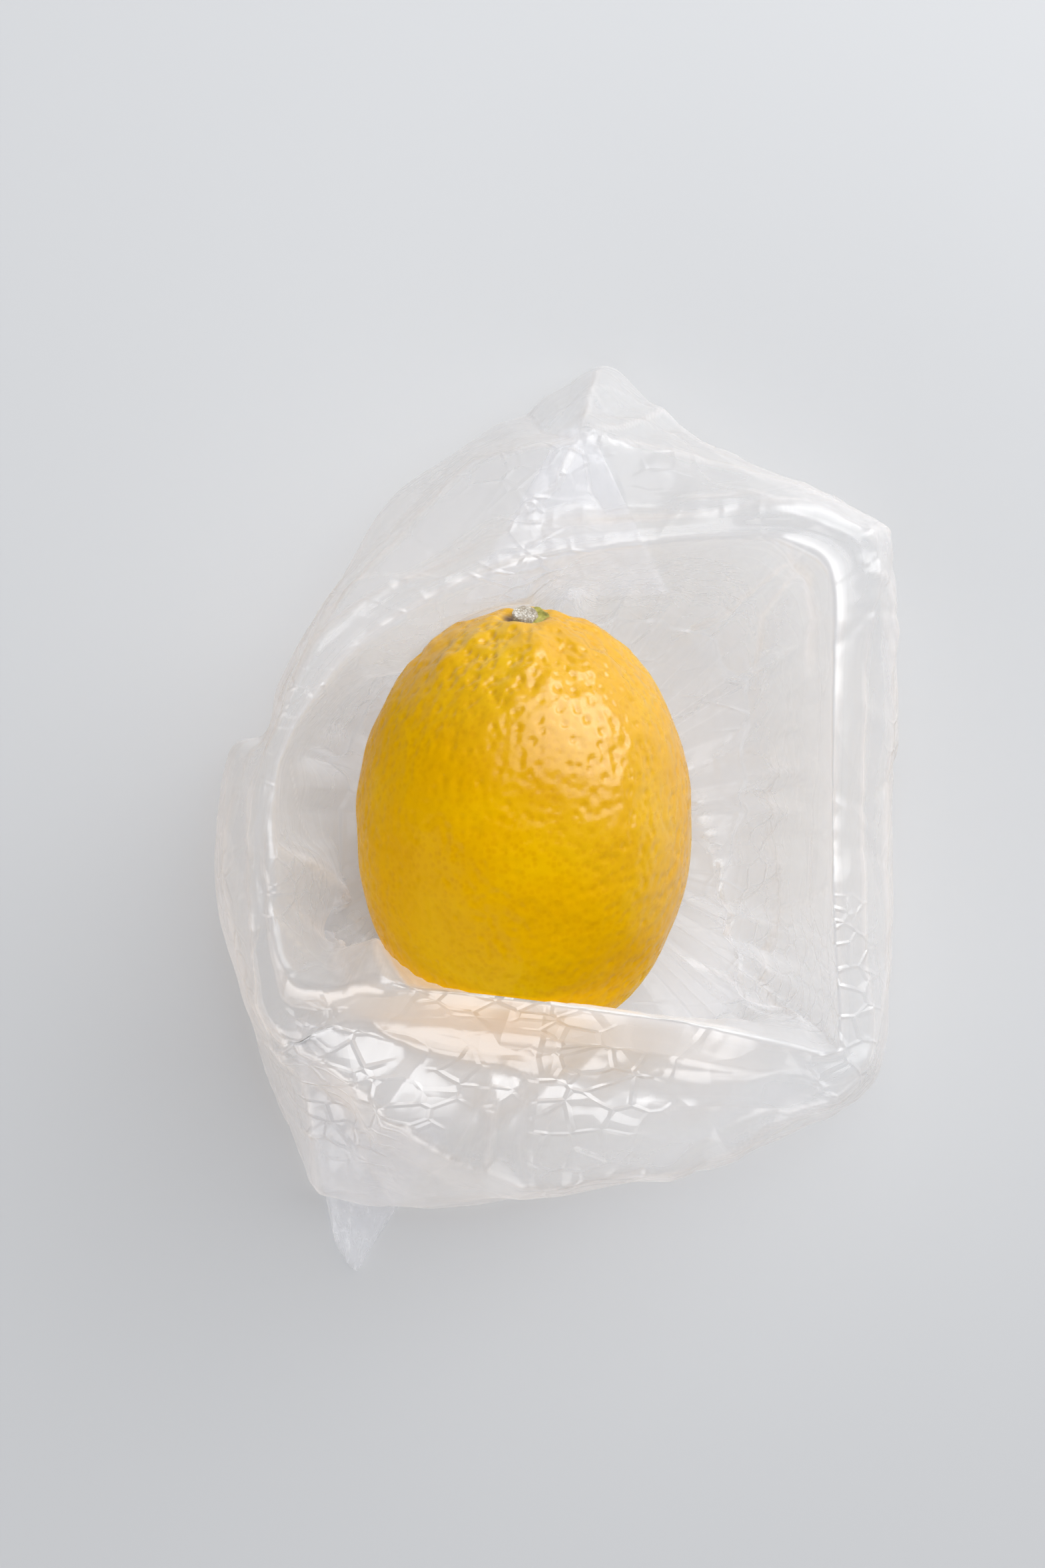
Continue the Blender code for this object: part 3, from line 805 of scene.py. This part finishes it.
def corner(ends, shown):
    """Points, faces and haze of two crumpled film layers in a triangle, pinched white at the tip, with white
    lines partly painted highlights.
    """
    (root_a, root_b), (tip_a, tip_b) = (np.array(pair) for pair in ends)
    points, faces, haze_and_painted_light = [], [], []
    for layer in range(2):
        first = len(points)
        for row in range(CORNER_ALONG + 1):
            share = row / CORNER_ALONG
            squeeze = share ** 0.85
            left, right = root_a + (tip_a - root_a) * squeeze, root_b + (tip_b - root_b) * squeeze
            ragged = 1.1 * noise.noise(Vector((share * 9, layer * 5, 1))) * share
            for k in range(CORNER_ACROSS + 1):
                t = k / CORNER_ACROSS
                spot = left + (right - left) * t
                bowed = (tip_a - root_a) * 0.09 * math.sin(math.pi * t) * share
                spot = spot + bowed + np.array([0, ragged * (t - 0.5)])
                where = Vector((spot[0], spot[1], layer * 40)) / 4.5
                lift = 0.7 * abs(noise.noise(where)) + 0.25 * share * abs(noise.noise(where * 2.4))
                lift = lift + 1.3 * abs(noise.noise(where * 0.45))
                pleat = 0.5 * abs(math.sin(13 * t + 3 * share)) * smooth_step(share * 1.6 - 0.5)
                arch = math.sin(math.pi * t) * (2.6 * (1 - share) + 0.9)
                height = 0.35 + (arch * 0.55 + lift + pleat if layer else 0.25 * lift)
                points.append(Vector((spot[0] * MM + MIDDLE.x, spot[1] * MM + MIDDLE.y, height * MM)))
                # Painted highlights, partly also haze of film folded over: white lines along both seams and
                # along crumple lines.
                seam = math.exp(-(((1 - t) / 0.05) ** 2)) * (0.5 + 0.5 * math.sin(70 * share))
                seam = seam + math.exp(-((t / 0.03) ** 2))
                crumple_line = max(0.0, 1 - abs(noise.noise(where)) * 14)
                pinched = 0.15 * smooth_step(share * 3 - 1.9)
                haze_and_painted_light.append(shown * (0.3 * seam + pinched + 0.2 * crumple_line) - 0.07)
        wide = CORNER_ACROSS + 1
        for row in range(CORNER_ALONG):
            for k in range(CORNER_ACROSS):
                a = first + row * wide + k
                faces.append((a, a + 1, a + wide + 1, a + wide))
    return points, faces, haze_and_painted_light


def film_material():
    """Thin milky film: see-through, hazier edge on, with sharp straight crinkles and a soft gloss."""
    film = Nodes("clear_film")
    slanting = film.turned((0.4, 0.9, 0.3), (1, 0.5, 1))
    lines = film.ramp(film.voronoi(42, "DISTANCE_TO_EDGE", slanting), [(0.0, 1.0), (0.04, 0.0)])
    crossing = film.turned((1.1, 0.2, 0.8), (0.6, 1, 1))
    fine_lines = film.ramp(film.voronoi(230, "DISTANCE_TO_EDGE", crossing), [(0.0, 1.0), (0.1, 0.0)])
    patchy = film.ramp(film.noise(34, 2), [(0.5, 0.0), (0.6, 1.0)])
    facet = film.voronoi(70, "F1", film.turned((0.2, 1.3, 0.5), (1, 0.6, 1)), distance="MANHATTAN")
    film.shader.inputs["Base Color"].default_value = (0.98, 0.98, 0.99, 1)
    film.shader.inputs["Roughness"].default_value = 0.21
    film.shader.inputs["IOR"].default_value = 3.0
    crinkle = film.bump(facet, 0.0018, 0.4)
    crinkle = film.bump(lines, 0.0004, 0.35, crinkle)
    crinkle = film.bump(film.math("MULTIPLY", fine_lines, patchy), 0.00035, 0.8, crinkle)
    film.link(crinkle, film.shader.inputs["Normal"])
    glow = film.node("ShaderNodeBsdfTranslucent", Color=(0.985, 0.98, 0.985, 1))
    body = film.node("ShaderNodeMixShader")
    body.inputs[0].default_value = 0.5
    film.link(film.shader.outputs[0], body.inputs[1])
    film.link(glow.outputs[0], body.inputs[2])
    clear = film.node("ShaderNodeBsdfTransparent", Color=(0.995, 0.995, 1, 1))
    facing = film.tree.nodes.new("ShaderNodeLayerWeight")
    facing.inputs["Blend"].default_value = 0.3
    film.link(crinkle, facing.inputs["Normal"])
    cover = film.math("ADD", film.math("MULTIPLY", facing.outputs["Facing"], 0.4), 0.16)
    # The point attribute adds haze where the film is doubled, painted highlights along folds, crests, rim and
    # seams, and painted light on the side turned from the window.
    cover = film.math("ADD", cover, film.attribute("haze_and_painted_light"), clamp=True)
    # Light scattered on through the film reaches what lies under it, so its shadow is fainter than its haze.
    lamp_ray = film.tree.nodes.new("ShaderNodeLightPath").outputs["Is Shadow Ray"]
    cover = film.math("MULTIPLY", cover, film.math("SUBTRACT", 1.0, film.math("MULTIPLY", lamp_ray, 0.64)))
    whole = film.node("ShaderNodeMixShader")
    film.link(cover, whole.inputs[0])
    film.link(clear.outputs[0], whole.inputs[1])
    film.link(body.outputs[0], whole.inputs[2])
    film.link(whole.outputs[0], film.output.inputs["Surface"])
    return film.material


make_film()
